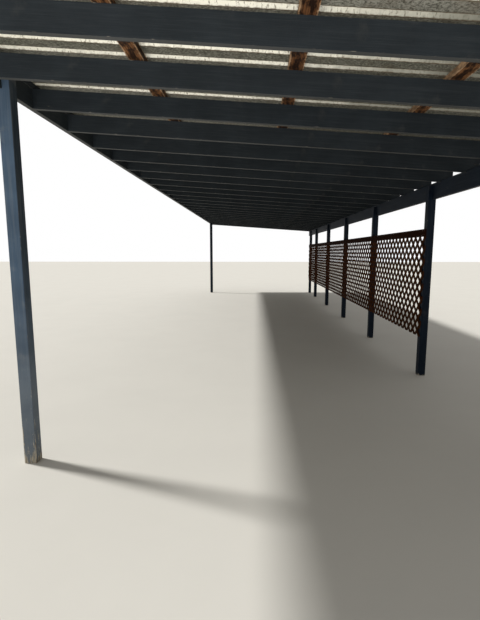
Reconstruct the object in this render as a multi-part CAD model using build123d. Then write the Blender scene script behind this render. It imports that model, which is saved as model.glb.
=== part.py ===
from build123d import *
import os
from math import cos, hypot, radians, sin, sqrt, tan

# An open carport for one car: two rows of notched posts, a beam along each row, joists across,
# flat purlins along the joists and ribbed sheets over them. A lattice screen lines one side.
# Millimetres. +X to the low eave, +Y to the back, +Z up. The origin is on the ground, under the
# middle of the roof.

# Plan
frame_width = 3815.0        # outer face of the left posts to outer face of the right posts
left_eave = 85.0            # sheets past the outer face of the left beam
right_eave = 140.0          # sheets past the outer face of the right beam
joist_spacing = 609.6
bay_joists = 4              # joist spacings in a bay, post to post along the right side
bay_count = 5               # full bays, the open front one included
last_bay_joists = 3         # joist spacings in the short bay at the back, less what the gaps take
front_overhang_joists = 2   # joist spacings in front of the first post
back_overhang_joists = 1    # joist spacings behind the last post
first_post_gap = 164.5      # back of a joist to the front of the post behind it
last_post_gap = 13.3        # back of the last post to the joist behind it

# Heights
beam_clearance = 2577.0     # ground to the underside of the left beam
roof_pitch = 4.0            # degrees, falling to the right

# Posts
post_side = 89.0
post_edge = 3.0             # planed edge of each post
left_tongue_height = 123.0  # inner half of a left post, up past the beam's underside
right_tongue_height = 153.0

# Beams, joists and purlins
board_thickness = 38.0      # beams and joists
left_beam_depth = 140.0
right_beam_depth = 184.0
joist_depth = 140.0
joist_seat = 15.0           # how deep the joists are notched over the right beam
joist_tail = 90.0           # joist past the outer face of the right beam
purlin_width = 89.0
purlin_thickness = 38.0
purlin_spacing = 936.0      # from the inner face of the left beam, then from one to the next
inner_purlins = 3
purlin_bearing = 8.0        # how far the left purlin reaches in over the joist ends
purlin_spans = 8            # joist spacings in one purlin or left beam board
board_gap = 2.0             # open joint between two boards in one line

# Roof sheets
sheet_thickness = 1.5
rib_pitch = 152.4
rib_base = 50.0
rib_crown = 26.0
rib_height = 25.0
lap_gap = 0.3               # between the two sheets of a lap
lap_flange = 12.0           # flat edge of the upper sheet past its last rib
roof_edge = 70.0            # from the middle of the end joists to the front and back roof edge

# Lattice screen
lattice_bottom = 495.0      # ground to the lower edge
lattice_height = 1219.2
strip_width = 38.0
strip_thickness = 8.0
strip_pitch = 108.0
screen_rail_height = 89.0
screen_rail_thickness = 19.0

# Worked out from the sizes above
slope = tan(radians(roof_pitch))
along = cos(radians(roof_pitch))
tilt = sin(radians(roof_pitch))
roof_width = left_eave + frame_width + right_eave
frame_left = left_eave - roof_width / 2
frame_right = frame_left + frame_width
ledger_face = frame_left + board_thickness
beam_face = frame_right - board_thickness
last_post_joist = front_overhang_joists + bay_count * bay_joists + last_bay_joists
joist_count = last_post_joist + back_overhang_joists + 1
joist_run = (joist_count - 1) * joist_spacing
joist_top = beam_clearance + joist_depth / along
roof_deck = Location((ledger_face, 0, joist_top), (0, roof_pitch, 0))


def joist_y(number):
    """Middle of a joist, counted from the front."""
    return number * joist_spacing - joist_run / 2


def underside(x):
    """Height of the joists' underside at x."""
    return beam_clearance - (x - ledger_face) * slope


post_to_joist = (post_side + board_thickness) / 2
right_posts_y = []
for bay in range(bay_count + 1):
    joist_ahead = front_overhang_joists + bay * bay_joists
    right_posts_y.append(joist_y(joist_ahead) + first_post_gap + post_to_joist)
right_posts_y.append(joist_y(last_post_joist) - last_post_gap - post_to_joist)
left_posts_y = [right_posts_y[0], right_posts_y[-1]]
beam_top = underside(beam_face) + joist_seat
beam_bottom = beam_top - right_beam_depth
frame_front = joist_y(0) - board_thickness / 2
frame_back = joist_y(joist_count - 1) + board_thickness / 2


def save(name, *solids):
    """Write the solids of one named piece as parts/NAME.step."""
    piece = Compound(label=name, children=list(solids)) if len(solids) > 1 else solids[0]
    piece.label = name
    export_step(piece, "parts/" + name + ".step")


def box_between(low, high):
    """A box from its low corner to its high corner."""
    size = [b - a for a, b in zip(low, high)]
    middle = [(a + b) / 2 for a, b in zip(low, high)]
    return Pos(*middle) * Box(*size)


def post(x_outer, inward, y, shoulder, tongue):
    """A square post whose outer half stops at the shoulder, where the beam lies in the notch.

    The inner half, the tongue, runs on up beside the beam. inward is +1 or -1 along X.
    """
    middle = x_outer + inward * post_side / 2
    height = shoulder + tongue
    shaft = Pos(middle, y, height / 2) * Box(post_side, post_side, height)
    shaft = chamfer(shaft.edges().filter_by(Axis.Z), post_edge)
    inner_face = x_outer + inward * board_thickness
    notch_low = (min(x_outer, inner_face), y - post_side / 2, shoulder)
    notch_high = (max(x_outer, inner_face), y + post_side / 2, height)
    return shaft - box_between(notch_low, notch_high)


def board_run(joints, make_board):
    """Boards in one line from joint to joint, with an open joint between each two."""
    boards = []
    last = len(joints) - 2
    for number in range(len(joints) - 1):
        start = joints[number] + (board_gap / 2 if number > 0 else 0)
        end = joints[number + 1] - (board_gap / 2 if number < last else 0)
        boards.append(make_board(start, end))
    return boards


def joist(y):
    """One joist: plumb cut against the left beam, notched over the right beam, plumb tail."""
    tail = frame_right + joist_tail
    depth = joist_depth / along
    side = [
        (ledger_face, underside(ledger_face)),
        (beam_face, underside(beam_face)),
        (beam_face, beam_top),
        (frame_right, beam_top),
        (frame_right, underside(frame_right)),
        (tail, underside(tail)),
        (tail, underside(tail) + depth),
        (ledger_face, underside(ledger_face) + depth),
    ]
    outline = Plane.XZ * make_face(Polyline(*side, close=True))
    return Pos(0, y, 0) * extrude(outline, board_thickness / 2, both=True)


def purlin_boards(x):
    """One line of purlins, laid flat on the joists, with its middle over x."""
    from_ledger = (x - ledger_face) / along

    def board(start, end):
        place = Pos(from_ledger, (start + end) / 2, purlin_thickness / 2)
        return roof_deck * place * Box(purlin_width, end - start, purlin_thickness)

    return board_run(deck_joints, board)


# A sheet's profile is drawn from its lower surface up. Rib walls lean, so a surface that lies
# `lift` above the lower one has its walls further out.
wall_run = (rib_base - rib_crown) / 2
wall_length = hypot(wall_run, rib_height)


def wall_offset(lift, z):
    """Distance from the rib's middle to its wall at height z, on the surface lifted by lift."""
    return rib_base / 2 + (lift * wall_length - z * wall_run) / rib_height


def rib(y, lift, front_foot, back_foot):
    """The four points of one rib, front to back, on the surface lifted by lift."""
    crown = rib_height + lift
    return [
        (y - wall_offset(lift, front_foot), front_foot),
        (y - wall_offset(lift, crown), crown),
        (y + wall_offset(lift, crown), crown),
        (y + wall_offset(lift, back_foot), back_foot),
    ]


def sheet_surface(level, is_first, is_last):
    """One surface of a sheet, front to back: level is 0 below and the thickness above.

    The last rib is the larger one of a lap: it lies over the first rib of the next sheet, and
    its flat edge over the next sheet's pan. The first and last sheet end in a flat roof edge.
    """
    points = [(-roof_edge, level)] if is_first else []
    ribs = round(joist_spacing / rib_pitch)
    for number in range(ribs):
        points += rib(number * rib_pitch, level, level, level)
    if is_last:
        points += rib(joist_spacing, level, level, level)
        points.append((joist_spacing + roof_edge, level))
        return points
    over = level + sheet_thickness + lap_gap
    points += rib(joist_spacing, over, level, over)
    points.append((joist_spacing + rib_base / 2 + lap_flange, over))
    return points


def roof_sheet(number):
    """A ribbed sheet from one joist to the next, laid down the slope on the purlins."""
    is_first = number == 0
    is_last = number == joist_count - 2
    lower = sheet_surface(0, is_first, is_last)
    upper = sheet_surface(sheet_thickness, is_first, is_last)
    profile = Plane.YZ * make_face(Polyline(*lower, *reversed(upper), close=True))
    highest = rib_height + 2 * sheet_thickness + lap_gap
    length = (roof_width - highest * tilt) / along
    start = (-roof_width / 2 - ledger_face - purlin_thickness * tilt) / along
    return roof_deck * Pos(start, joist_y(number), purlin_thickness) * extrude(profile, length)


def lattice_layer(length, angle):
    """Parallel strips at 45 degrees either way, cut to the panel's outline.

    A strip shorter than one pitch, in a corner, would cross no other, so there is none.
    """
    reach = hypot(length, lattice_height)
    corner = (length + lattice_height) / 2 / sqrt(2)
    count = int((corner - strip_pitch / 2) / strip_pitch)
    strips = []
    for number in range(-count, count + 1):
        place = Rot(0, 0, angle) * Pos(0, number * strip_pitch)
        strips.append(place * Rectangle(reach, strip_width))
    outline = Rectangle(length, lattice_height)
    return extrude((Sketch() + strips) & outline, strip_thickness)


def lattice_panel(start, end):
    """Two layers of strips that lean opposite ways, fused where they cross."""
    length = end - start
    near = lattice_layer(length, 45)
    far = Pos(0, 0, strip_thickness) * lattice_layer(length, -45)
    screen_face = frame_right - post_side - 2 * strip_thickness
    middle = (screen_face, (start + end) / 2, lattice_bottom + lattice_height / 2)
    upright = Plane(middle, x_dir=(0, 1, 0), z_dir=(1, 0, 0))
    return upright * (near + far)


def screen_rail(start, end):
    """The flat board along the top of the lattice, on the posts' inner faces."""
    inner_face = frame_right - post_side
    low = (inner_face - screen_rail_thickness, start, lattice_bottom + lattice_height)
    high = (inner_face, end, lattice_bottom + lattice_height + screen_rail_height)
    return box_between(low, high)


os.makedirs("parts", exist_ok=True)

# Posts
for side, y in zip(("front", "back"), left_posts_y):
    save("left_post_" + side, post(frame_left, 1, y, beam_clearance, left_tongue_height))
for number, y in enumerate(right_posts_y, start=1):
    save("right_post_" + str(number), post(frame_right, -1, y, beam_bottom, right_tongue_height))

# Joints of the long boards: the purlins and the left beam meet over joists, the right beam
# in the notches of every other post.
deck_joints = [frame_front, frame_back]
deck_joints[1:1] = [joist_y(number) for number in range(purlin_spans, joist_count - 1, purlin_spans)]
beam_joints = [frame_front] + right_posts_y[1:-1:2] + [frame_back]


def left_beam_board(start, end):
    low = (frame_left, start, beam_clearance)
    return box_between(low, (ledger_face, end, beam_clearance + left_beam_depth))


def right_beam_board(start, end):
    return box_between((beam_face, start, beam_bottom), (frame_right, end, beam_top))


save("left_beam", *board_run(deck_joints, left_beam_board))
save("right_beam", *board_run(beam_joints, right_beam_board))

# Joists and sheets, one group to a bay
for group, first in enumerate(range(0, joist_count, bay_joists), start=1):
    members = range(first, min(first + bay_joists, joist_count))
    save("joists_" + str(group), *[joist(joist_y(number)) for number in members])
for group, first in enumerate(range(0, joist_count - 1, bay_joists), start=1):
    members = range(first, min(first + bay_joists, joist_count - 1))
    save("roof_sheets_" + str(group), *[roof_sheet(number) for number in members])

# Purlins
left_purlin_x = ledger_face + purlin_bearing - purlin_width / 2
purlins_x = [left_purlin_x]
purlins_x += [ledger_face + number * purlin_spacing for number in range(1, inner_purlins + 1)]
purlins_x.append((beam_face + frame_right) / 2)
for number, x in enumerate(purlins_x, start=1):
    save("purlin_" + str(number), *purlin_boards(x))

# Lattice screen, from the second right post to the last
screen_joints = [right_posts_y[1] - post_side / 2] + right_posts_y[2:-1]
screen_joints.append(right_posts_y[-1] + post_side / 2)
for number, panel in enumerate(board_run(screen_joints, lattice_panel), start=1):
    save("lattice_" + str(number), panel)
for number, board in enumerate(board_run(screen_joints, screen_rail), start=1):
    save("screen_rail_" + str(number), board)
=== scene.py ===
"""Finishes, fixings and stage of an open timber carport with a ribbed metal roof.

Metres, +X to the low eave, +Y to the back, +Z up, with the origin on the ground under the roof.
"""

from inspect import signature
from math import radians, sqrt

import bpy
import numpy as np
from bpy.props import FloatProperty, FloatVectorProperty, PointerProperty
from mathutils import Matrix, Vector


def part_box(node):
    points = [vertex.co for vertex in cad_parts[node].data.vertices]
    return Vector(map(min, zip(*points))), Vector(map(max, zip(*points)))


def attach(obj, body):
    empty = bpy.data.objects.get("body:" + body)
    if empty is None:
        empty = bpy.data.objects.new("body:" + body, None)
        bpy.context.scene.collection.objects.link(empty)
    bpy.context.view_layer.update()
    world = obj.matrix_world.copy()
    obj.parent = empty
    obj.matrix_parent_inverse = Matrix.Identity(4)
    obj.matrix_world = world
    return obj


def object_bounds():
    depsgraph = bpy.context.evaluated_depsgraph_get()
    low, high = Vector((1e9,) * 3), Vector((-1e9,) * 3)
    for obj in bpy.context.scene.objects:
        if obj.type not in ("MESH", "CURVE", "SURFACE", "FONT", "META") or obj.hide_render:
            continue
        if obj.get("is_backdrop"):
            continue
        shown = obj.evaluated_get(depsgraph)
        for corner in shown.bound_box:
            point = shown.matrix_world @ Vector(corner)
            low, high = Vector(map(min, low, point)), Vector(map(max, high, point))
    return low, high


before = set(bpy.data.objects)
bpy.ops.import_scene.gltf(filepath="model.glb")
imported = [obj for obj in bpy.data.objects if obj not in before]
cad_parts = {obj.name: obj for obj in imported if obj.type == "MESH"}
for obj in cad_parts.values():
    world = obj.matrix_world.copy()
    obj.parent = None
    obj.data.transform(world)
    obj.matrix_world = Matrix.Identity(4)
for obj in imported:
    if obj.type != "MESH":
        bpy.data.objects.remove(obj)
cad_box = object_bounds()

bl_info = {
    "name": "Open carport",
    "version": (1, 0, 0),
    "blender": (4, 5, 0),
    "location": "3D Viewport > Sidebar > Carport",
    "description": "Finishes, fixings and stage of a timber carport with a ribbed metal roof",
    "category": "Object",
}


# Places and sizes read from the frame
def corners(node):
    """Lowest and highest corner of a node, as arrays."""
    low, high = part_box(node)
    return np.array(low), np.array(high)


def middle(node):
    """Centre of a node's box."""
    low, high = corners(node)
    return (low + high) / 2


def extent(node):
    """Width, length and height of a node's box."""
    low, high = corners(node)
    return high - low


def numbered(prefix):
    """The frame's nodes called prefix_1, prefix_2 and so on, in that order."""
    names = [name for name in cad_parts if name.startswith(prefix + "_")]
    return sorted(names, key=lambda name: int(name.rsplit("_", 1)[1]))


LEFT_POSTS = ["left_post_front", "left_post_back"]
RIGHT_POSTS = numbered("right_post")
JOISTS = numbered("joists")
PURLINS = numbered("purlin")
SHEETS = numbered("roof_sheets")
PANELS = numbered("lattice")
RAILS = numbered("screen_rail")

POST_SIDE = extent(RIGHT_POSTS[0])[0]
BOARD, _, LEFT_DEPTH = extent("left_beam")
(LEFT_OUTER_X, FRONT_Y, LEFT_BOTTOM), (LEFT_INNER_X, BACK_Y, _) = corners("left_beam")
RIGHT_INNER_X, _, RIGHT_BOTTOM = corners("right_beam")[0]
RIGHT_DEPTH = extent("right_beam")[2]

# Joists come four to a node, as many as there are from one right post to the next
BAY_JOISTS = 4
JOIST_SPACING = (extent(JOISTS[0])[1] - BOARD) / (BAY_JOISTS - 1)
FIRST_JOIST = FRONT_Y + BOARD / 2
JOIST_COUNT = round((BACK_Y - FRONT_Y - BOARD) / JOIST_SPACING) + 1
BAY = BAY_JOISTS * JOIST_SPACING

# The boards of the beams and purlins are eight joist spacings long
BOARD_RUN = 8 * JOIST_SPACING
FIRST_BOARD = FIRST_JOIST + BOARD_RUN / 2

# SLOPE is the fall for each metre across, and ALONG is the cosine of that angle
PURLIN_LINES = np.array([middle(node)[0] for node in PURLINS])
DECK_RUN = middle(PURLINS[-1]) - middle(PURLINS[0])
SLOPE = -DECK_RUN[2] / DECK_RUN[0]
ALONG = 1 / sqrt(1 + SLOPE * SLOPE)
JOIST_UPRIGHT = LEFT_DEPTH / ALONG

# Sizes as in the part's source
PURLIN_WIDTH = 0.089
PURLIN_DEPTH = 0.038
RAIL_HEIGHT = 0.089
RAIL_THICKNESS = 0.019
SHEET = 0.0015
RIBS_TO_SHEET = 4
RIB_PITCH = JOIST_SPACING / RIBS_TO_SHEET
RIB_BASE = 0.050
RIB_CROWN = 0.026
RIB_HEIGHT = 0.025
LAP_RISE = 0.0018
STRIP = 0.038
STRIP_PITCH = 0.108
STRIP_LAYER = 0.008


def deck_height(x, above):
    """Height over x of the plane that is `above` the purlins' top, measured square to it."""
    top = middle(PURLINS[0])
    return top[2] + (PURLIN_DEPTH / 2 + above) / ALONG - (x - top[0]) * SLOPE


# Settings
def linear(red, green, blue):
    """A colour given as screen values from 0 to 255, in the linear values that shaders use."""
    value = np.array([red, green, blue]) / 255
    return tuple(np.where(value <= 0.04045, value / 12.92, ((value + 0.055) / 1.055) ** 2.4))


def colour(name, text, red, green, blue):
    """A colour property with its default given in screen values."""
    return FloatVectorProperty(name=name, description=text, subtype="COLOR", size=3, min=0, max=1,
                               default=linear(red, green, blue))


def number(name, text, value, **settings):
    """A property for one number."""
    return FloatProperty(name=name, description=text, default=value, **settings)


def length(name, text, metres):
    """A length property in metres."""
    return number(name, text, metres, min=0, unit="LENGTH")


class CarportPaint(bpy.types.PropertyGroup):
    """The painted frame: posts, beams and joists."""
    film: colour("Paint", "Slate paint as it was brushed on", 38, 43, 47)
    # Painted shade: a darker copy of the slate paint, for the posts and the right beam that stand in shade
    shaded: colour("Shaded paint", "The same paint on the posts that stand in the shade", 14, 24, 36)
    # A lighter copy of the paint for the sunny front post: partly sun-faded paint, partly painted sunlight
    bleached: colour("Bleached paint", "The same paint where the sun reaches it", 69, 86, 104)
    chalk: colour("Chalky paint", "Paint gone chalky near the ground and on brush ridges", 128, 134, 138)
    wood: colour("Bare wood", "Grey weathered wood where the paint is gone", 194, 186, 170)
    dark_wood: colour("Bare wood, dark", "Late wood and cracks of the weathered wood", 108, 94, 76)
    moss: colour("Green tinge", "Thin algae at the foot of the posts", 84, 94, 70)
    edge: length("Worn edge", "How far the wear reaches from an arris", 0.004)
    foot: length("Worn foot", "Height over which the paint has mostly come off a post's foot", 0.11)
    flaking: number("Flaking", "How much paint has come off", 0.35, min=0, max=1, subtype="FACTOR")


class CarportPine(bpy.types.PropertyGroup):
    """The unpainted purlins."""
    light: colour("Early wood", "The pale part of the pine's grain", 142, 100, 64)
    dark: colour("Late wood", "The dark part of the pine's grain", 76, 46, 26)
    stain: colour("Stain", "Damp stains and sap", 24, 12, 7)
    arris: colour("Sawn edge", "The paler, pinkish sawn edges", 204, 168, 132)
    ring: length("Ring spacing", "Distance between two rings of the grain", 0.007)


class CarportRoof(bpy.types.PropertyGroup):
    """The ribbed roof sheets."""
    # The cream of the rib walls is partly a cleaner coating and partly painted light
    wall: colour("Clean coating", "Cream coating on the walls of the ribs", 243, 239, 222)
    pan: colour("Dull pan", "Speckled grey underside of the pans", 114, 113, 99)
    fleck: colour("Dark fleck", "Dark flecks of the speckle", 56, 53, 44)
    spangle: colour("Light fleck", "Pale flecks of the speckle", 176, 174, 163)
    grime: colour("Grime", "Brown grime along the folds", 96, 78, 54)
    top: colour("Weather side", "Coating on the weather side", 178, 178, 168)
    soot: colour("Soot", "Dirt washed down the weather side", 104, 100, 90)
    rust: colour("Rust", "Rust at scratches and cut ends", 120, 66, 34)


class CarportScreen(bpy.types.PropertyGroup):
    """The lattice and the flat rail over it."""
    strip: colour("Lattice stain", "Red-brown stain on the strips", 76, 43, 22)
    strip_dark: colour("Lattice grain", "Dark grain of the strips", 34, 18, 8)
    strip_worn: colour("Worn strip", "Where the stain has weathered away", 108, 70, 42)
    rail: colour("Rail stain", "Nearly black stain on the rail", 40, 21, 12)
    rail_dark: colour("Rail grain", "Dark grain of the rail", 15, 8, 5)


class CarportFixings(bpy.types.PropertyGroup):
    """Screws, nails and staples."""
    washer: length("Washer width", "Width of a roof screw's washer", 0.016)
    hexagon: length("Screw head", "Width of a roof screw's hexagon head over its corners", 0.0092)
    nail: length("Nail head", "Width of a nail head", 0.0085)
    staple: length("Staple", "Length of a lattice staple's crown", 0.011)
    wire: length("Staple wire", "Thickness of a staple", 0.0013)
    zinc: colour("Zinc", "Plated steel, gone dull", 150, 150, 144)
    rust: colour("Rust", "Rusted steel", 112, 66, 40)
    rubber: colour("Seal", "Rubber under the washers", 40, 40, 40)


class CarportStage(bpy.types.PropertyGroup):
    """Floor, light and camera."""
    floor: colour("Floor", "Plain pale floor", 226, 222, 212)
    daylight: number("Daylight", "Strength of the even light", 0.34, min=0)
    front_light: number("Front light", "Strength of the low light from the front", 0.25, min=0)
    side_light: number("Side light", "Strength of the high light from the left back", 2.6, min=0)
    fill: number("Fill", "Watts of the wide lamp in front that shines up under the roof", 300.0, min=0)
    standpoint: FloatVectorProperty(name="Standpoint", description="Where the camera stands",
                                    default=(-0.258, -9.5026, 1.5318), subtype="TRANSLATION")
    turn: number("Turn", "Turn of the camera to the left", 0.0330, subtype="ANGLE")
    tip: number("Tip", "Tip of the camera downwards", 0.1478, subtype="ANGLE")
    lens: number("Lens", "Focal length for a sensor 36 mm high", 25.56, min=1)
    rise: number("Rise", "Vertical shift of the picture", 0.0120)


# Node wiring
class Net:
    """A shader tree being wired. Each call adds nodes and gives back what the last one puts out."""

    def __init__(self, tree):
        self.tree = tree

    def feed(self, socket, value):
        """Links a socket to what another node puts out, or sets it to a plain value."""
        if isinstance(value, bpy.types.NodeSocket):
            self.tree.links.new(value, socket)
        elif socket.type == "RGBA" and len(value) == 3:
            socket.default_value = (*value, 1)
        else:
            socket.default_value = value

    def node(self, kind, inputs=None, **settings):
        """One node. inputs gives values by the name or the number of a socket."""
        made = self.tree.nodes.new("ShaderNode" + kind)
        for key, value in settings.items():
            setattr(made, key, value)
        for key, value in (inputs or {}).items():
            self.feed(made.inputs[key], value)
        return made

    def math(self, operation, *values):
        return self.node("Math", dict(enumerate(values)), operation=operation).outputs[0]

    def times(self, first, second):
        return self.math("MULTIPLY", first, second)

    def minus(self, first, second):
        return self.math("SUBTRACT", first, second)

    def larger(self, first, second):
        return self.math("MAXIMUM", first, second)

    def line(self, value, factor, start):
        """The value times the factor, plus start."""
        return self.math("MULTIPLY_ADD", value, factor, start)

    def step(self, value, low, high):
        """0 below low, 1 above high, smooth between. With low over high it falls instead."""
        inputs = {"Value": value, "From Min": low, "From Max": high}
        return self.node("MapRange", inputs, interpolation_type="SMOOTHSTEP").outputs[0]

    def vector(self, x, y, z):
        return self.node("CombineXYZ", {"X": x, "Y": y, "Z": z}).outputs[0]

    def noise(self, vector, scale, detail=3.0, roughness=0.55):
        values = {"Vector": vector, "Scale": scale, "Detail": detail, "Roughness": roughness}
        return self.node("TexNoise", values).outputs["Fac"]

    def drawn_out(self, board, lengthwise, sideways):
        """A place along, across and up a board, with one scale along it and another for the rest."""
        scales = (lengthwise, sideways, sideways)
        return self.vector(*[self.times(value, scale) for value, scale in zip(board, scales)])

    def strands(self, board, lengthwise, sideways, detail=3.0, roughness=0.55):
        """Noise drawn out along a board, with so many spots to the metre along it and across it."""
        return self.noise(self.drawn_out(board, lengthwise, sideways), 1.0, detail, roughness)

    def blend(self, factor, first, second):
        return self.node("Mix", {0: factor, 6: first, 7: second}, data_type="RGBA").outputs[2]

    def tint(self, base, *layers):
        """The base with colours laid over it in turn, each with the mask and the amount it has."""
        for over, mask, amount in layers:
            base = self.blend(self.times(mask, amount), base, over)
        return base

    def place(self):
        """The point, its X, Y and Z, and the X, Y and Z of the surface's direction."""
        source = self.node("TexCoord").outputs
        point, facing = (self.node("SeparateXYZ", {"Vector": source[name]}) for name in ("Object", "Normal"))
        return source["Object"], point.outputs, facing.outputs


class Finish(Net):
    """A new material being wired, with its Principled shader."""

    def __init__(self, name):
        self.material = bpy.data.materials.new(name)
        self.material.use_nodes = True
        super().__init__(self.material.node_tree)
        self.shader = next(node for node in self.tree.nodes if node.type == "BSDF_PRINCIPLED")

    def done(self, base, roughness, height, relief, **plain):
        """Wires colour, roughness and relief, and gives the material.

        relief is what a height of 1 stands for, in metres. plain are the shader's own numbers.
        """
        bump = self.node("Bump", {"Height": height, "Strength": 1.0, "Distance": relief})
        self.feed(self.shader.inputs["Base Color"], base)
        self.feed(self.shader.inputs["Roughness"], roughness)
        self.feed(self.shader.inputs["Normal"], bump.outputs["Normal"])
        for label, value in plain.items():
            self.shader.inputs[label.replace("_", " ")].default_value = value
        return self.material


def toned(paint, factor):
    """A colour made darker, or lighter with a factor over 1."""
    return tuple(part * factor for part in paint)


# Effects that several materials share, each built once as a node group
def shared(net, name, wire, values, outputs):
    """Places the node group of that name, with a value for each of its inputs, and gives its outputs.

    wire builds the group the first time. It gets a net and the group's inputs, which are called
    as its own arguments are, and returns the outputs by name.
    """
    tree = bpy.data.node_groups.get(name)
    if not tree:
        tree = bpy.data.node_groups.new(name, "ShaderNodeTree")
        for label, value in zip(list(signature(wire).parameters)[1:], values, strict=True):
            kind = "NodeSocketVector" if getattr(value, "type", "") == "VECTOR" else "NodeSocketFloat"
            tree.interface.new_socket(label.replace("_", " ").title(), in_out="INPUT", socket_type=kind)
        for label in outputs:
            tree.interface.new_socket(label, in_out="OUTPUT", socket_type="NodeSocketFloat")
        entry = tree.nodes.new("NodeGroupInput")
        leave = tree.nodes.new("NodeGroupOutput")
        for label, value in wire(Net(tree), *entry.outputs[:len(values)]).items():
            tree.links.new(value, leave.inputs[label])
    return net.node("Group", dict(enumerate(values)), node_tree=tree).outputs


def board_number(net, position, first, spacing):
    """Which of a row of equal boards a point is in.

    Local is the distance from that board's middle, and Random a number of its own.
    """
    def wire(net, position, first, spacing):
        start = net.minus(position, first)
        count = net.math("FLOOR", net.math("ADD", net.math("DIVIDE", start, spacing), 0.5))
        local = net.minus(start, net.times(count, spacing))
        chance = net.node("TexWhiteNoise", {"W": net.math("ADD", count, 0.37)}, noise_dimensions="1D")
        return {"Local": local, "Random": chance.outputs["Value"]}

    return shared(net, "Board number", wire, (position, first, spacing), ("Local", "Random"))


def wood_grain(net, board, ring, seed):
    """Rings, fibres and knots of a board.

    A ring is a step in the distance from the pith, sqrt(across^2 + up^2), bent by a slow noise
    and pushed out round each knot. Fibres are noise drawn out along the board. The seed moves
    the point along the board, and moves the pith.
    """
    def wire(net, along, across, up, ring, seed):
        across = net.math("ADD", across, net.line(seed, 0.09, 0.03))
        up = net.math("ADD", up, net.line(seed, -0.15, 0.02))
        moved = (net.line(seed, 31.0, along), across, up)
        cells = {"Vector": net.drawn_out(moved, 1.7, 8.0), "Scale": 1.0}
        spots = net.node("TexVoronoi", cells).outputs["Distance"]
        halo = net.step(spots, 0.42, 0.05)
        squares = [net.math("POWER", value, 2.0) for value in (across, up)]
        pith = net.math("SQRT", net.math("ADD", *squares))
        bend = net.line(net.strands(moved, 0.9, 9.0, 2.0), 0.03, net.times(halo, 0.014))
        turns = net.math("DIVIDE", net.math("ADD", pith, bend), ring)
        return {
            "Rings": net.math("POWER", net.math("FRACT", turns), 2.2),
            "Fibres": net.strands(moved, 9.0, 420.0, 3.0, 0.6),
            "Knots": net.step(spots, 0.17, 0.07),
        }

    return shared(net, "Wood grain", wire, (*board, ring, seed), ("Rings", "Fibres", "Knots"))


def worn_edges(net, board, half_width, half_depth, reach):
    """Closeness to the nearest arris of a board, made ragged.

    On a face one of (half width - |across|) and (half depth - |up|) is 0, so the greater of the
    two is the distance to the arris.
    """
    def wire(net, along, across, up, half_width, half_depth, reach):
        side = net.minus(half_width, net.math("ABSOLUTE", across))
        face = net.minus(half_depth, net.math("ABSOLUTE", up))
        ragged = net.line(net.noise(net.vector(along, across, up), 38.0, 4.0, 0.7), 2.4, -1.2)
        near = net.line(ragged, reach, net.larger(side, face))
        return {"Edge": net.step(near, reach, 0.0)}

    return shared(net, "Worn edges", wire, (*board, half_width, half_depth, reach), ("Edge",))["Edge"]


def settled_dirt(net, place, scale, amount):
    """Soft patches of dirt: noise above a level set by the amount."""
    def wire(net, place, scale, amount):
        patch = net.noise(place, scale, 5.0, 0.62)
        level = net.line(amount, -0.4, 0.72)
        return {"Dirt": net.step(patch, level, net.math("ADD", level, 0.22))}

    return shared(net, "Settled dirt", wire, (place, scale, amount), ("Dirt",))["Dirt"]


def run_marks(net, across, along, width):
    """Thin marks that water leaves as it runs: noise drawn out along one way, faded by a slow noise."""
    def wire(net, across, along, width):
        thin = net.math("DIVIDE", across, width)
        long = net.math("DIVIDE", along, net.times(width, 24.0))
        lines = net.noise(net.vector(thin, long, 0.0), 1.0, 3.0, 0.6)
        slow = net.vector(net.times(thin, 0.12), net.times(long, 0.7), 0.0)
        fade = net.noise(slow, 1.0, 2.0)
        return {"Marks": net.times(net.step(lines, 0.5, 0.72), net.step(fade, 0.4, 0.62))}

    return shared(net, "Run marks", wire, (across, along, width), ("Marks",))["Marks"]


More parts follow.
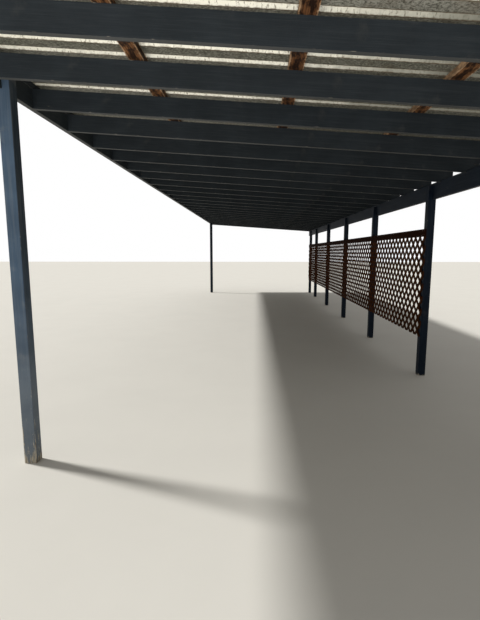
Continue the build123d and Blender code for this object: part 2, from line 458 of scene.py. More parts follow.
# Painted timber
def painted_timber(name, axes, half_width, half_depth, plain, foot=0.0, sun=0.0):
    """Slate paint over softwood, worn at its edges and knots and, on a post, at its foot.

    axes wires the board's own along, across and up, and a number of its own. plain is the paint's
    colour, foot is the height of a post's worn foot, and sun is how far the paint has gone chalky.
    With sun the upper part of the inner face also gets painted shade.
    """
    look = bpy.context.scene.carport_paint
    net = Finish(name)
    _, point, facing = net.place()
    board, seed = axes(net, point)
    own = net.vector(*board)
    grain = wood_grain(net, board, 0.0075, seed)

    # Where the paint is gone: flakes along the arrises and on the knots
    flakes = net.strands(board, 14.0, 60.0, 5.0, 0.7)
    edge = worn_edges(net, board, half_width, half_depth, look.edge)
    bare = net.times(edge, net.step(flakes, 0.66 - 0.25 * look.flaking, 0.70))
    knots = net.times(grain["Knots"], net.step(flakes, 0.58, 0.66))
    bare = net.larger(bare, net.times(knots, 0.5))

    # The film of paint: slow tone, an underside painted paler (painted light from below), chalky streaks, brush
    # marks and dust
    tone = net.noise(own, 2.6, 4.0, 0.6)
    film = net.tint(
        net.blend(net.step(tone, 0.35, 0.7), toned(plain, 0.86), toned(plain, 1.14)),
        (look.chalk, seed, 0.02),
        # Painted light: faces turned down lean to the pale wood colour, as if lit from below
        (look.wood, net.step(facing["Z"], -0.5, -0.8), 0.055))
    # Painted shade: on the sunny post the inner face turns to the plain, darker paint toward the top, under the
    # roof
    if sun:
        inner = net.times(net.step(facing["X"], 0.4, 0.7), 0.8)
        film = net.tint(film, (look.film, inner, net.step(point["Z"], 0.5, 1.9)))
    streaks = net.strands(board, 1.8, 48.0, 3.0, 0.6)
    brush = net.strands(board, 5.0, 520.0, 2.0)
    film = net.tint(
        film,
        (look.chalk, net.step(streaks, 0.45, 0.68), 0.025 + 0.14 * sun),
        (look.chalk, net.step(brush, 0.45, 0.75), 0.05 + 0.08 * sun),
        (look.wood, settled_dirt(net, own, 7.0, 0.35), 0.03 + 0.07 * sun))
    if foot:
        # Bare strands that thin out with the root of the height, chalk above them and damp below
        ground = point["Z"]
        strands = net.strands(board, 7.0, 75.0, 5.0, 0.72)
        strands = net.line(worn_edges(net, board, half_width, half_depth, 0.016), 0.10, strands)
        level = net.line(net.math("SQRT", ground), 0.125 / sqrt(foot), 0.415)
        bare = net.larger(bare, net.step(net.minus(strands, level), 0.0, 0.03))
        chalk = net.times(net.step(ground, 13.0 * foot, 0.5 * foot), net.step(tone, 0.1, 0.7))
        film = net.tint(film, (look.chalk, chalk, 0.75 * sun))
        damp = net.times(net.step(ground, 1.1 * foot, 0.0), net.step(flakes, 0.46, 0.62))

    rings = net.line(grain["Rings"], 0.7, net.times(grain["Fibres"], 0.45))
    wood = net.blend(net.step(rings, 0.15, 0.95), look.wood, look.dark_wood)
    wood = net.blend(grain["Knots"], wood, toned(look.dark_wood, 0.5))
    base = net.blend(bare, film, wood)
    if foot:
        base = net.tint(base, (look.moss, damp, 0.30))
    height = net.line(grain["Rings"], -0.12, net.times(brush, 0.18))
    height = net.line(bare, -0.8, height)
    height = net.line(grain["Fibres"], net.times(bare, 0.5), height)
    rough = net.line(bare, 0.26, net.line(brush, 0.12, 0.46))
    return net.done(base, rough, height, relief=0.0009, Specular_IOR_Level=0.05)


def post_axes(node):
    """Along a post is up; across and up are measured from its middle."""
    x, y, _ = middle(node)
    seed = (list(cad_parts).index(node) * 0.37) % 1.0

    def axes(net, point):
        return (point["Z"], net.minus(point["X"], x), net.minus(point["Y"], y)), seed
    return axes


def joist_axes(net, point):
    """Along a joist is across the carport; up is measured from the middle of its depth."""
    row = board_number(net, point["Y"], FIRST_JOIST, JOIST_SPACING)
    mid = LEFT_BOTTOM + JOIST_UPRIGHT / 2 + LEFT_INNER_X * SLOPE
    up = net.minus(net.line(point["X"], SLOPE, point["Z"]), mid)
    return (point["X"], row["Local"], up), row["Random"]


def beam_axes(node, first):
    """Along a beam is along the carport, in boards of one length. first is the first one's middle."""
    x, _, z = middle(node)

    def axes(net, point):
        row = board_number(net, point["Y"], first, BOARD_RUN)
        return (point["Y"], net.minus(point["X"], x), net.minus(point["Z"], z)), row["Random"]
    return axes


def dress(nodes, material):
    """Gives a material to CAD nodes."""
    for name in nodes:
        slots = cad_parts[name].material_slots
        if not slots:
            raise RuntimeError(name + " has no material slot")
        for slot in slots:
            slot.material = material


class CARPORT_OT_paint_frame(bpy.types.Operator):
    """Paint the posts, beams and joists"""
    bl_idname = "carport.paint_frame"
    bl_label = "Paint frame"

    def execute(self, context):
        look = context.scene.carport_paint
        for node in LEFT_POSTS + RIGHT_POSTS:
            sunny = node == LEFT_POSTS[0]
            # The sunny front post gets the lighter copy of the paint (painted sunlight), the others the darker
            # copy (painted shade)
            paint, foot, sun = (look.bleached, 1.0, 1.0) if sunny else (look.shaded, 0.08, 0.0)
            dress([node], painted_timber("painted_" + node, post_axes(node), POST_SIDE / 2, POST_SIDE / 2,
                                         paint, look.foot * foot, sun))
        top = PURLINS[0]
        first_right = middle(RIGHT_POSTS[1])[1] + BOARD_RUN / 2
        boards = (
            (JOISTS, "joists", joist_axes, BOARD, JOIST_UPRIGHT, look.film),
            ([top], "purlin", beam_axes(top, FIRST_BOARD), PURLIN_WIDTH, PURLIN_DEPTH, look.film),
            (["left_beam"], "left_beam", beam_axes("left_beam", FIRST_BOARD), BOARD, LEFT_DEPTH, look.film),
            # The right beam gets the darker copy of the paint, which is painted shade
            (["right_beam"], "right_beam", beam_axes("right_beam", first_right), BOARD, RIGHT_DEPTH,
             look.shaded),
        )
        for nodes, name, axes, width, depth, paint in boards:
            dress(nodes, painted_timber("painted_" + name, axes, width / 2, depth / 2, paint))
        return {"FINISHED"}


# Purlins
def raw_pine(node, order, age):
    """Pine with stains, splits, knots, paler sawn edges and one side made paler by painted light.

    order is the purlin's place among the bare ones, and age from 0 to 1 is how dark it has gone.
    """
    look = bpy.context.scene.carport_pine
    net = Finish("raw_pine_" + str(order + 2))
    _, point, facing = net.place()
    x, _, z = middle(node)
    row = board_number(net, point["Y"], FIRST_BOARD, BOARD_RUN)
    seed = net.math("FRACT", net.math("ADD", row["Random"], order * 0.31))
    across = net.minus(point["X"], x)
    board = (point["Y"], across, net.line(across, SLOPE, net.minus(point["Z"], z)))
    grain = wood_grain(net, board, look.ring, seed)
    rings = net.line(grain["Rings"], 0.75, net.times(grain["Fibres"], 0.4))
    base = net.blend(net.step(rings, 0.2, 1.0), look.light, look.dark)
    base = net.blend(net.line(seed, 0.25, age), base, look.dark)
    edge = worn_edges(net, board, PURLIN_WIDTH / 2, PURLIN_DEPTH / 2, 0.010)
    # The pale colour of the sawn edges, also laid over every face turned to -X with less stain: on those faces
    # it is painted light
    sawn = net.larger(edge, net.times(net.step(facing["X"], -0.5, -0.8), 0.9))
    blotch = net.step(net.strands(board, 10.0, 30.0, 4.0, 0.65), 0.40, 0.56)
    splits = net.step(net.strands(board, 2.5, 150.0, 3.0, 0.6), 0.56, 0.66)
    stain = net.larger(blotch, net.times(splits, 0.6))
    base = net.tint(
        base,
        (look.arris, sawn, 0.75),
        (look.stain, stain, net.line(sawn, -0.45, 0.94)),
        (look.stain, grain["Knots"], 0.85))
    height = net.line(grain["Fibres"], 0.6, net.times(grain["Rings"], -0.4))
    rough = net.line(stain, -0.15, 0.8)
    return net.done(base, rough, height, relief=0.0010, Specular_IOR_Level=0.15)


class CARPORT_OT_pine_purlins(bpy.types.Operator):
    """Give the purlins raw pine with stains, knots, paler sawn edges and one side made paler by painted light"""
    bl_idname = "carport.pine_purlins"
    bl_label = "Raw pine purlins"

    def execute(self, context):
        ages = (0.05, 0.60, 0.15, 0.30)
        for order, (node, age) in enumerate(zip(PURLINS[1:], ages, strict=True)):
            dress([node], raw_pine(node, order, age))
        return {"FINISHED"}


# Roof sheets
def sheet_underside(net, look, point, own, line):
    """Speckled dull pans with grime along the folds, made paler at the front end by painted light."""
    finely = net.vector(net.times(point["X"], 0.7), point["Y"], point["Z"])
    speckle = net.noise(finely, 120.0, 4.0, 0.72)
    # The Math node turns a cell's random colour into one grey value
    cells = net.times(net.node("TexVoronoi", {"Vector": own, "Scale": 80.0}).outputs["Color"], 1.0)
    patch = net.noise(own, 6.0, 4.0, 0.6)
    # Painted light: the pans near the open front end are made paler
    mouth = net.step(point["Y"], FIRST_JOIST + 0.68, FIRST_JOIST + 0.48)
    pan = net.tint(look.pan, (look.spangle, mouth, 0.9))
    under = net.tint(
        net.blend(net.step(speckle, 0.50, 0.57), pan, look.fleck),
        (look.spangle, net.step(speckle, 0.45, 0.38), 0.85),
        (look.spangle, net.step(cells, 0.55, 0.85), 0.30),
        (look.fleck, net.step(cells, 0.45, 0.15), 0.35),
        (look.grime, net.step(patch, 0.5, 0.75), 0.55),
        (look.grime, line, 0.75))
    return under, speckle, patch


def rib_walls(net, look, point, own, patch, rib, from_rib):
    """Cream coating, partly painted light, flecked with grime, with painted shade toward the low eave and the
    back.
    """
    mottle = net.noise(own, 34.0, 4.0, 0.7)
    fine = net.vector(net.times(point["X"], 85.0), net.times(point["Y"], 70.0), 0.0)
    ticks = net.noise(fine, 1.0, 4.0, 0.75)
    # Painted shade: the walls turn to the pan's grey toward the low eave (+X) and toward the back
    back_side = net.step(point["Y"], -6.8, -3.5)
    low_side = net.line(patch, 1.2, net.line(back_side, 2.2, point["X"]))
    foot = net.step(from_rib, RIB_BASE / 2 - 0.0022, RIB_BASE / 2 + 0.0002)
    crown = net.step(from_rib, RIB_CROWN / 2 + 0.0018, RIB_CROWN / 2)
    return net.tint(
        look.wall,
        (look.pan, net.step(mottle, 0.5, 0.68), 0.30),
        (look.grime, net.step(ticks, 0.545, 0.63), 0.75),
        (look.pan, net.step(low_side, 0.4, 1.6), net.line(rib["Random"], 0.3, 0.65)),
        (look.grime, net.larger(foot, crown), net.step(mottle, 0.38, 0.6)))


def weather_side(net, look, point, sheet, line, from_rib):
    """Dull coating with run marks down the slope, and dirt that lies thicker in the pans."""
    washed = net.vector(net.times(point["X"], 0.45), net.times(point["Y"], 2.2), point["Z"])
    in_pan = net.step(from_rib, RIB_CROWN / 2, RIB_BASE / 2 + 0.004)
    soot = net.times(settled_dirt(net, washed, 4.0, 0.7), net.line(in_pan, 0.65, 0.35))
    return net.tint(
        look.top,
        (toned(look.top, 0.8), sheet["Random"], 0.25),
        (look.soot, run_marks(net, point["Y"], point["X"], 0.016), 0.55),
        (look.soot, soot, 0.42),
        (look.soot, line, 0.5))


def roof_metal():
    """Coated sheet: cream rib walls (partly painted light), speckled dull pans underneath, washed dirt on the
    weather side.
    """
    look = bpy.context.scene.carport_roof
    net = Finish("roof_metal")
    own, point, facing = net.place()
    rib = board_number(net, point["Y"], FIRST_JOIST, RIB_PITCH)
    sheet = board_number(net, point["Y"], FIRST_JOIST + JOIST_SPACING / 2, JOIST_SPACING)
    from_rib = net.math("ABSOLUTE", rib["Local"])

    # A wandering line of dirt where a rib meets the pan
    fold = net.math("ABSOLUTE", net.minus(from_rib, RIB_BASE / 2 + 0.003))
    wander = net.line(net.noise(own, 30.0, 3.0), 0.012, -0.004)
    line = net.step(fold, net.math("ADD", wander, 0.006), wander)

    under, speckle, patch = sheet_underside(net, look, point, own, line)
    wall = rib_walls(net, look, point, own, patch, rib, from_rib)
    # Faces turned along the roof, the rib walls, get the cream and the rest the grey: partly a cleaner coating,
    # partly painted light
    under = net.blend(net.step(net.math("ABSOLUTE", facing["Y"]), 0.5, 0.8), under, wall)
    under = net.tint(under, (look.pan, sheet["Random"], 0.12))
    top = weather_side(net, look, point, sheet, line, from_rib)
    base = net.blend(net.step(facing["Z"], -0.02, 0.02), under, top)

    # Rust in spots, most of it in the last 10 cm before the low eave
    low_edge = cad_box[1][0]
    eave = net.step(point["X"], low_edge - 0.10, low_edge)
    rust = net.step(net.line(eave, 0.12, net.noise(own, 22.0, 5.0, 0.75)), 0.72, 0.80)
    base = net.tint(base, (look.rust, rust, 0.8))
    height = net.line(speckle, 0.3, net.times(patch, 0.9))
    rough = net.line(speckle, 0.25, 0.38)
    return net.done(base, rough, height, relief=0.0006, Metallic=0.15)


class CARPORT_OT_roof_metal(bpy.types.Operator):
    """Coat the roof sheets"""
    bl_idname = "carport.roof_metal"
    bl_label = "Roof coating"

    def execute(self, context):
        dress(SHEETS, roof_metal())
        return {"FINISHED"}


# Lattice screen
def stained_strips(node):
    """Stained strips of one panel. The inner layer rises to the back, the outer one falls."""
    look = bpy.context.scene.carport_screen
    net = Finish("stained_" + node)
    _, point, _ = net.place()
    x, y, z = middle(node)
    back = net.times(net.minus(point["Y"], y), 1 / sqrt(2))
    high = net.times(net.minus(point["Z"], z), 1 / sqrt(2))
    outer = net.math("GREATER_THAN", point["X"], x)
    rising = net.math("ADD", back, high)
    falling = net.minus(back, high)

    def by_layer(inner_value, outer_value):
        values = {0: outer, 2: inner_value, 3: outer_value}
        return net.node("Mix", values, data_type="FLOAT").outputs[0]

    along = by_layer(rising, falling)
    row = board_number(net, by_layer(falling, rising), 0.0, STRIP_PITCH)
    seed = net.math("FRACT", net.line(outer, 0.53, row["Random"]))
    board = (along, row["Local"], net.minus(point["X"], x))
    grain = wood_grain(net, board, 0.005, seed)
    rings = net.line(grain["Rings"], 0.55, net.times(grain["Fibres"], 0.6))
    base = net.blend(net.step(rings, 0.2, 0.95), look.strip, look.strip_dark)
    base = net.tint(base, (look.strip_dark, seed, 0.5))
    from_edge = net.minus(STRIP / 2, net.math("ABSOLUTE", row["Local"]))
    arris = net.times(net.step(from_edge, 0.004, 0.0), 0.6)
    weather = settled_dirt(net, net.vector(along, row["Local"], point["X"]), 9.0, 0.45)
    worn = net.times(net.larger(weather, arris), net.step(grain["Fibres"], 0.35, 0.7))
    base = net.tint(base, (look.strip_worn, worn, 0.6))
    height = net.line(grain["Fibres"], 0.8, net.times(grain["Rings"], -0.4))
    rough = net.line(worn, 0.1, 0.82)
    return net.done(base, rough, height, relief=0.0008, Specular_IOR_Level=0.01)


def stained_rail():
    """Nearly black stain on flat boards, one to a bay."""
    look = bpy.context.scene.carport_screen
    net = Finish("stained_rail")
    _, point, _ = net.place()
    x, _, z = middle(RAILS[0])
    row = board_number(net, point["Y"], middle(RAILS[1])[1], BAY)
    board = (point["Y"], net.minus(point["Z"], z), net.minus(point["X"], x))
    grain = wood_grain(net, board, 0.008, row["Random"])
    rings = net.line(grain["Rings"], 0.6, net.times(grain["Fibres"], 0.5))
    base = net.blend(net.step(rings, 0.2, 1.0), look.rail, look.rail_dark)
    edge = worn_edges(net, board, RAIL_HEIGHT / 2, RAIL_THICKNESS / 2, 0.004)
    weather = settled_dirt(net, net.vector(*board), 5.0, 0.4)
    worn = net.larger(net.times(edge, 0.6), net.times(weather, 0.35))
    base = net.blend(worn, base, look.strip)
    height = net.line(grain["Fibres"], 0.7, net.times(grain["Rings"], -0.4))
    rough = net.line(worn, 0.15, 0.78)
    return net.done(base, rough, height, relief=0.0008, Specular_IOR_Level=0.01)


class CARPORT_OT_stain_screen(bpy.types.Operator):
    """Stain the lattice and the rail over it"""
    bl_idname = "carport.stain_screen"
    bl_label = "Screen stain"

    def execute(self, context):
        for node in PANELS:
            dress([node], stained_strips(node))
        dress(RAILS, stained_rail())
        return {"FINISHED"}


# Small fixings, as one template each, copied to many places. A template is its points, the
# corner numbers of all its faces in one row, and how many corners each face has.
def rows_of(*columns):
    """Rows with one value from each column. A column is an array or a single number."""
    return np.stack(np.broadcast_arrays(*columns), axis=-1)


def closed_tube(points, rings, sides):
    """A template from the rings of a tube that is closed round and at both ends.

    The points are ring by ring. Corner k of ring j joins corner k + 1 and the same two of ring
    j + 1, and the first and last rings are faces themselves.
    """
    row, side = np.meshgrid(np.arange(rings - 1), np.arange(sides), indexing="ij")
    here = row * sides + side
    ahead = row * sides + (side + 1) % sides
    walls = rows_of(here, ahead, ahead + sides, here + sides).ravel()
    first = np.arange(sides)[::-1]
    last = (rings - 1) * sides + np.arange(sides)
    sizes = np.append(np.full(len(walls) // 4, 4), [sides, sides])
    return points.reshape(-1, 3), np.concatenate([walls, first, last]), sizes


def lathe(profile, sides):
    """A closed surface of revolution about Z.

    The point of profile row (r, z) at side k is (r cos a, r sin a, z), a = 2 pi k / sides.
    """
    rows = np.array(profile)
    angle = np.arange(sides) * 2 * np.pi / sides
    radius, z = rows[:, :1], rows[:, 1:]
    return closed_tube(rows_of(radius * np.cos(angle), radius * np.sin(angle), z), len(rows), sides)


def nail_head(width):
    """A flat round head with a slight dome, set a little into the wood."""
    radius = width / 2
    return lathe([(radius, -0.0006), (radius, 0.0005), (radius * 0.8, 0.0010), (radius * 0.3, 0.0013)], 10)


def staple(crown, wire):
    """A staple's crown with its two bent ends, a half-round wire carried along a low arch.

    The path is x = s crown / 2, z = wire (1 / 2 - s^6), and the wire's section is a half circle.
    """
    along = np.array([-1.0, -0.96, -0.8, 0.0, 0.8, 0.96, 1.0])
    path_x = along[:, None] * crown / 2
    path_z = wire * (1 - np.abs(along[:, None]) ** 6) - wire * 0.5
    section = np.linspace(0, np.pi, 5)
    points = rows_of(path_x, np.cos(section) * wire / 2, path_z + np.sin(section) * wire / 2)
    return closed_tube(points, len(along), len(section))


def join(*parts):
    """Several templates as one."""
    starts = np.cumsum([0] + [len(points) for points, _, _ in parts])
    points = np.concatenate([part[0] for part in parts])
    faces = np.concatenate([part[1] + start for part, start in zip(parts, starts)])
    return points, faces, np.concatenate([part[2] for part in parts])


def copies(template, places, turns):
    """The template moved to each place: point p becomes place + turn p, for all copies at once."""
    points, faces, sizes = template
    count = len(places)
    turns = np.broadcast_to(np.asarray(turns, float), (count, 3, 3))
    moved = np.einsum("nij,pj->npi", turns, points) + np.asarray(places)[:, None, :]
    all_faces = faces + len(points) * np.arange(count)[:, None]
    return moved.reshape(-1, 3), all_faces.ravel(), np.tile(sizes, count)


def turn_to(direction):
    """The turn that takes +Z to a direction."""
    return np.array(Vector(direction).to_track_quat("Z", "Y").to_matrix())


def put(name, data, location=(0, 0, 0), turn=(0, 0, 0)):
    """A new object in the scene, at a place and turned by angles about X, Y and Z."""
    made = bpy.data.objects.new(name, data)
    made.location = location
    made.rotation_euler = turn
    bpy.context.scene.collection.objects.link(made)
    return made


def add_piece(name, shape, material, slot):
    """A new mesh piece that rides on the carport."""
    points, faces, sizes = shape
    if not len(sizes):
        raise RuntimeError(name + " has no faces")
    mesh = bpy.data.meshes.new(name)
    mesh.from_pydata(points.tolist(), [], np.split(faces, np.cumsum(sizes)[:-1]))
    mesh.materials.append(material)
    mesh.polygons.foreach_set("use_smooth", np.ones(len(mesh.polygons), bool))
    mesh.set_sharp_from_angle(angle=radians(35))
    mesh.update()
    piece = put(name, mesh)
    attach(piece, "root")


def dull_steel(name, main, spot, scale, amount, metal=0.4):
    """Plated or painted metal with rust spots."""
    net = Finish(name)
    own, _, _ = net.place()
    rust = net.step(net.noise(own, scale, 4.0, 0.7), 0.62 - 0.2 * amount, 0.72 - 0.2 * amount)
    tone = net.noise(own, 14.0, 2.0)
    base = net.blend(net.step(tone, 0.3, 0.7), main, toned(main, 0.75))
    base = net.blend(rust, base, spot)
    grain = net.noise(own, 900.0, 2.0)
    rough = net.line(rust, 0.4, 0.42)
    return net.done(base, rough, grain, relief=0.0002, Metallic=metal, Specular_IOR_Level=metal)


def seal_rubber():
    """Dark rubber, bleached in patches by the sun."""
    look = bpy.context.scene.carport_fixings
    net = Finish("seal_rubber")
    own, _, _ = net.place()
    tone = net.noise(own, 260.0, 3.0)
    base = net.blend(net.step(tone, 0.4, 0.7), look.rubber, toned(look.rubber, 2.2))
    return net.done(base, net.line(tone, 0.2, 0.6), tone, relief=0.0002)


class CARPORT_OT_roof_screws(bpy.types.Operator):
    """Screw the sheets to the purlins, beside the ribs, and stitch the laps on their crowns"""
    bl_idname = "carport.roof_screws"
    bl_label = "Roof screws"

    def execute(self, context):
        look = context.scene.carport_fixings
        washer = look.washer / 2
        head = look.hexagon / 2
        seal = lathe([(washer * 0.96, 0.0), (washer * 1.05, 0.0007), (washer * 0.98, 0.0014)], 14)
        dome = [(washer, 0.0010), (washer, 0.0020), (washer * 0.86, 0.0029), (washer * 0.62, 0.0034)]
        hexagon = [(head, 0.0030), (head, 0.0072), (head * 0.84, 0.0080)]
        screw = join(lathe(dome, 14), lathe(hexagon, 6))
        places = np.concatenate([self.pan_screws(), self.lap_screws()])
        turn = turn_to((SLOPE * ALONG, 0.0, ALONG))
        steel = dull_steel("screw_zinc", look.zinc, look.rust, 40.0, 0.6)
        add_piece("roof_screws", copies(screw, places, turn), steel, "roof_metal")
        add_piece("screw_seals", copies(seal, places, turn), seal_rubber(), "roof_metal")
        return {"FINISHED"}

    def pan_screws(self):
        """Places on the pans over each purlin, behind every second rib and clear of the laps' edge."""
        from_foot = 0.014
        clear_of_lap = 0.012
        ribs = np.arange(0, round((BACK_Y - FRONT_Y) / RIB_PITCH) + 1, 2)
        beside = FIRST_JOIST + ribs * RIB_PITCH + RIB_BASE / 2 + from_foot
        beside = beside + np.where(ribs % RIBS_TO_SHEET == 0, clear_of_lap, 0.0)
        across, back = np.meshgrid(PURLIN_LINES, beside[beside < BACK_Y], indexing="ij")
        wobble = np.random.default_rng(7)
        across = across + wobble.normal(0, 0.004, across.shape)
        back = back + wobble.normal(0, 0.002, back.shape)
        return rows_of(across, back, deck_height(across, SHEET)).reshape(-1, 3)

    def lap_screws(self):
        """Places on the laps' crowns, halfway between the purlins."""
        laps = FIRST_JOIST + np.arange(1, JOIST_COUNT - 1) * JOIST_SPACING
        across, back = np.meshgrid((PURLIN_LINES[1:] + PURLIN_LINES[:-1]) / 2, laps, indexing="ij")
        level = deck_height(across, SHEET + RIB_HEIGHT + LAP_RISE)
        return rows_of(across, back, level).reshape(-1, 3)


class CARPORT_OT_frame_nails(bpy.types.Operator):
    """Nail the joists to the beams and the beams to the posts"""
    bl_idname = "carport.frame_nails"
    bl_label = "Frame nails"

    def execute(self, context):
        look = context.scene.carport_fixings
        paint = context.scene.carport_paint
        places, turns = [], []

        def drive(x, y, z, direction):
            places.append((x, y, z))
            turns.append(turn_to(direction))

        foot = LEFT_BOTTOM - SLOPE * 0.03
        for y in FIRST_JOIST + np.arange(JOIST_COUNT) * JOIST_SPACING:
            # Through the left beam into the joist's end
            for rise, aside in ((0.035, -0.004), (0.070, 0.004), (0.105, -0.004)):
                drive(LEFT_OUTER_X, y + aside, LEFT_BOTTOM + rise, (-1, 0, 0))
            # Through the joist's faces into both beams
            for side in (-1, 1):
                face = y + side * BOARD / 2
                drive(LEFT_INNER_X + 0.028, face, foot + 0.045, (0, side, 0))
                drive(LEFT_INNER_X + 0.034, face, foot + 0.100, (0, side, 0))
                x = RIGHT_INNER_X + BOARD / 2 + side * 0.006
                drive(x, face, LEFT_BOTTOM - (x - LEFT_INNER_X) * SLOPE + 0.042, (0, side, 0))
        # Through the beams into the posts, in two rows to a post
        right_rises = (0.045, 0.090, 0.136)
        left_rises = (0.040, 0.085)
        for nodes, x, bottom, rises, direction in (
                (RIGHT_POSTS, RIGHT_INNER_X + BOARD, RIGHT_BOTTOM, right_rises, (1, 0, 0)),
                (LEFT_POSTS, LEFT_OUTER_X, LEFT_BOTTOM, left_rises, (-1, 0, 0))):
            for y in [middle(node)[1] for node in nodes]:
                for across in (-0.024, 0.022):
                    for rise in rises:
                        drive(x, y + across, bottom + rise, direction)
        steel = dull_steel("painted_nails", paint.film, look.rust, 30.0, 0.35, 0.1)
        add_piece("frame_nails", copies(nail_head(look.nail), places, turns), steel, "painted_beam")
        return {"FINISHED"}


def crossings(node):
    """How far back and up from a panel's middle its strips cross.

    Strips m and n have their middle lines at y - z = m pitch sqrt 2 and y + z = n pitch sqrt 2,
    both from the panel's middle, so they cross at ((n + m), (n - m)) pitch / sqrt 2.
    """
    _, long, tall = extent(node)
    count = int(((long + tall) / 2 / sqrt(2) - STRIP_PITCH / 2) / STRIP_PITCH)
    numbers = np.arange(-count, count + 1)
    m, n = np.meshgrid(numbers, numbers, indexing="ij")
    back = (n + m) * STRIP_PITCH / sqrt(2)
    high = (n - m) * STRIP_PITCH / sqrt(2)
    margin = STRIP * 0.6
    inside = (np.abs(back) < long / 2 - margin) & (np.abs(high) < tall / 2 - margin)
    return back[inside], high[inside]


class CARPORT_OT_lattice_staples(bpy.types.Operator):
    """Staple the lattice at its crossings and nail it to the posts, and screw its rail on"""
    bl_idname = "carport.lattice_staples"
    bl_label = "Lattice staples"

    def execute(self, context):
        look = context.scene.carport_fixings
        staples = copies(staple(look.staple, look.wire), *self.staples())
        steel = dull_steel("staple_steel", look.zinc, look.rust, 9.0, 0.9)
        add_piece("lattice_staples", staples, steel, "lattice_stain")
        heads = copies(nail_head(look.nail), self.heads(), turn_to((-1, 0, 0)))
        steel = dull_steel("rail_screws", look.rust, look.zinc, 30.0, 0.2)
        add_piece("screen_screws", heads, steel, "rail_stain")
        return {"FINISHED"}

    def staples(self):
        """Places and turns of the staples, on the inner face and more or less across both strips."""
        chance = np.random.default_rng(11)
        places, turns = [], []
        for node in PANELS:
            x, y, z = middle(node)
            back, high = crossings(node)
            spread = chance.normal(0, 0.004, (2, len(back)))
            places.append(rows_of(x - STRIP_LAYER, y + back + spread[0], z + high + spread[1]))
            lean = radians(45) + chance.normal(0, 0.25, len(back))
            run = rows_of(0.0, np.cos(lean), np.sin(lean))
            out = np.array([-1.0, 0.0, 0.0])
            turns.append(rows_of(run, np.cross(out, run), out))
        return np.concatenate(places), np.concatenate(turns)

    def heads(self):
        """Places of the rail's screws, four to a post, and of the nails down the edge of a panel."""
        rail = corners(RAILS[0])[0]
        panel = corners(PANELS[0])[0]
        places = []
        for node in RIGHT_POSTS[1:]:
            y = middle(node)[1]
            into_panel = -0.020 if node == RIGHT_POSTS[-1] else 0.020
            places += [(rail[0], y + across, rail[2] + rise) for rise in (0.024, 0.066)
                       for across in (-0.022, 0.022)]
            places += [(panel[0], y + into_panel, panel[2] + rise) for rise in (0.12, 0.45, 0.78, 1.10)]
        return places


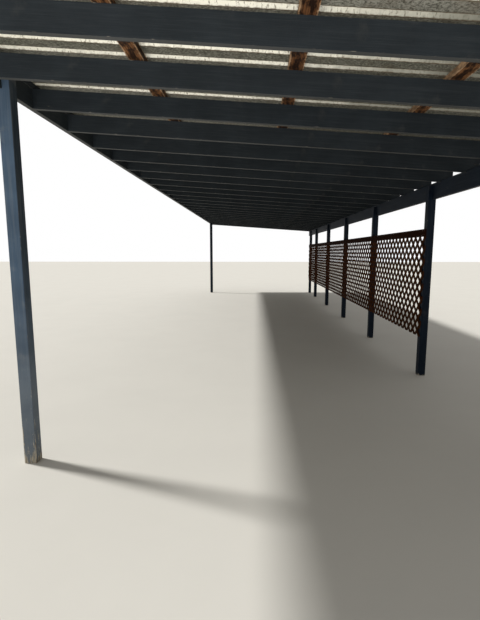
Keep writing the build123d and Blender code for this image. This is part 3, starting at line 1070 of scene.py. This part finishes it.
# Stage
class CARPORT_OT_stage(bpy.types.Operator):
    """Set the floor, the light and the camera"""
    bl_idname = "carport.stage"
    bl_label = "Stage"

    def execute(self, context):
        look = context.scene.carport_stage
        self.floor(look)
        self.daylight(context, look)
        self.lamps(look)
        self.camera(context, look)
        context.scene.view_settings.view_transform = "Standard"
        return {"FINISHED"}

    def floor(self, look):
        """A wide flat floor, a hair under the posts' feet, as a grid of points."""
        reach = 60.0
        below = 0.0008
        cells = 8
        grid = np.linspace(-reach, reach, cells + 1)
        x, y = np.meshgrid(grid, grid, indexing="ij")
        points = rows_of(x, y, -below).reshape(-1, 3)
        row, column = np.meshgrid(np.arange(cells), np.arange(cells), indexing="ij")
        near = (row * (cells + 1) + column).ravel()
        faces = rows_of(near, near + cells + 1, near + cells + 2, near + 1)
        mesh = bpy.data.meshes.new("floor")
        mesh.from_pydata(points.tolist(), [], faces.tolist())
        net = Finish("floor")
        _, point, _ = net.place()
        tone = net.noise(net.vector(point["X"], point["Y"], 0.0), 1.3, 5.0, 0.6)
        base = net.blend(net.step(tone, 0.3, 0.75), look.floor, toned(look.floor, 0.975))
        mesh.materials.append(net.done(base, 0.9, tone, relief=0.001, Specular_IOR_Level=0.1))
        floor = put("floor", mesh)
        floor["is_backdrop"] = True

    def daylight(self, context, look):
        """Even light from all round, which the camera and clear or shiny surfaces see as white."""
        world = bpy.data.worlds.new("daylight")
        world.use_nodes = True
        world.node_tree.nodes.clear()
        context.scene.world = world
        net = Net(world.node_tree)
        path = net.node("LightPath").outputs
        clear = net.larger(path["Is Glossy Ray"], path["Is Transmission Ray"])
        dim, white = (net.node("Background", {"Color": (1, 1, 1, 1), "Strength": strength}).outputs[0]
                      for strength in (look.daylight, 1.0))
        seen = net.larger(path["Is Camera Ray"], clear)
        mixed = net.node("MixShader", {0: seen, 1: dim, 2: white}).outputs[0]
        net.node("OutputWorld", {"Surface": mixed})

    def lamps(self, look):
        """A broad low light from the front, one from the left back, and one up from the floor in front."""
        suns = (("front_light", look.front_light, 50, (radians(72), 0, radians(-14))),
                ("side_light", look.side_light, 6, (radians(37), 0, radians(-108))))
        for name, strength, spread, turn in suns:
            lamp = bpy.data.lights.new(name, "SUN")
            lamp.energy = strength
            lamp.angle = radians(spread)
            put(name, lamp, turn=turn)
        lamp = bpy.data.lights.new("fill", "AREA")
        lamp.shape = "RECTANGLE"
        lamp.size = 4.2
        lamp.size_y = 3.2
        lamp.energy = look.fill
        fill = put("fill", lamp, (-1.5, -11.4, 0.05), (radians(180), 0, 0))
        fill.visible_camera = False

    def camera(self, context, look):
        """The photograph's standpoint, direction and field of view."""
        data = bpy.data.cameras.new("camera")
        data.sensor_width = 36.0
        data.lens = look.lens
        data.shift_y = look.rise
        data.clip_end = 200.0
        turn = (radians(90) - look.tip, 0, look.turn)
        context.scene.camera = put("camera", data, look.standpoint, turn)


class CARPORT_PT_panel(bpy.types.Panel):
    """Lists the carport's steps and settings"""
    bl_label = "Carport"
    bl_idname = "CARPORT_PT_panel"
    bl_space_type = "VIEW_3D"
    bl_region_type = "UI"
    bl_category = "Carport"

    def draw(self, context):
        for operator in STEPS:
            self.layout.operator(operator.bl_idname)
        for name, group in SETTINGS.items():
            box = self.layout.box()
            for label in group.__annotations__:
                box.prop(getattr(context.scene, name), label)


SETTINGS = {
    "carport_paint": CarportPaint,
    "carport_pine": CarportPine,
    "carport_roof": CarportRoof,
    "carport_screen": CarportScreen,
    "carport_fixings": CarportFixings,
    "carport_stage": CarportStage,
}
STEPS = (
    CARPORT_OT_paint_frame,
    CARPORT_OT_pine_purlins,
    CARPORT_OT_roof_metal,
    CARPORT_OT_stain_screen,
    CARPORT_OT_roof_screws,
    CARPORT_OT_frame_nails,
    CARPORT_OT_lattice_staples,
    CARPORT_OT_stage,
)


def register():
    for name, group in SETTINGS.items():
        bpy.utils.register_class(group)
        setattr(bpy.types.Scene, name, PointerProperty(type=group))
    for kind in (*STEPS, CARPORT_PT_panel):
        bpy.utils.register_class(kind)


def unregister():
    for kind in (CARPORT_PT_panel, *reversed(STEPS)):
        bpy.utils.unregister_class(kind)
    for name, group in reversed(SETTINGS.items()):
        delattr(bpy.types.Scene, name)
        bpy.utils.unregister_class(group)


def main():
    """Make every piece and finish, then work out the size of the frame and of the dressed object."""
    register()
    bpy.ops.carport.paint_frame()
    bpy.ops.carport.pine_purlins()
    bpy.ops.carport.roof_metal()
    bpy.ops.carport.stain_screen()
    bpy.ops.carport.roof_screws()
    bpy.ops.carport.frame_nails()
    bpy.ops.carport.lattice_staples()
    bpy.ops.carport.stage()
    sizes = {"cad": [list(corner) for corner in cad_box], "visual": [list(corner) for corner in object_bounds()]}


if __name__ == "__main__":
    main()
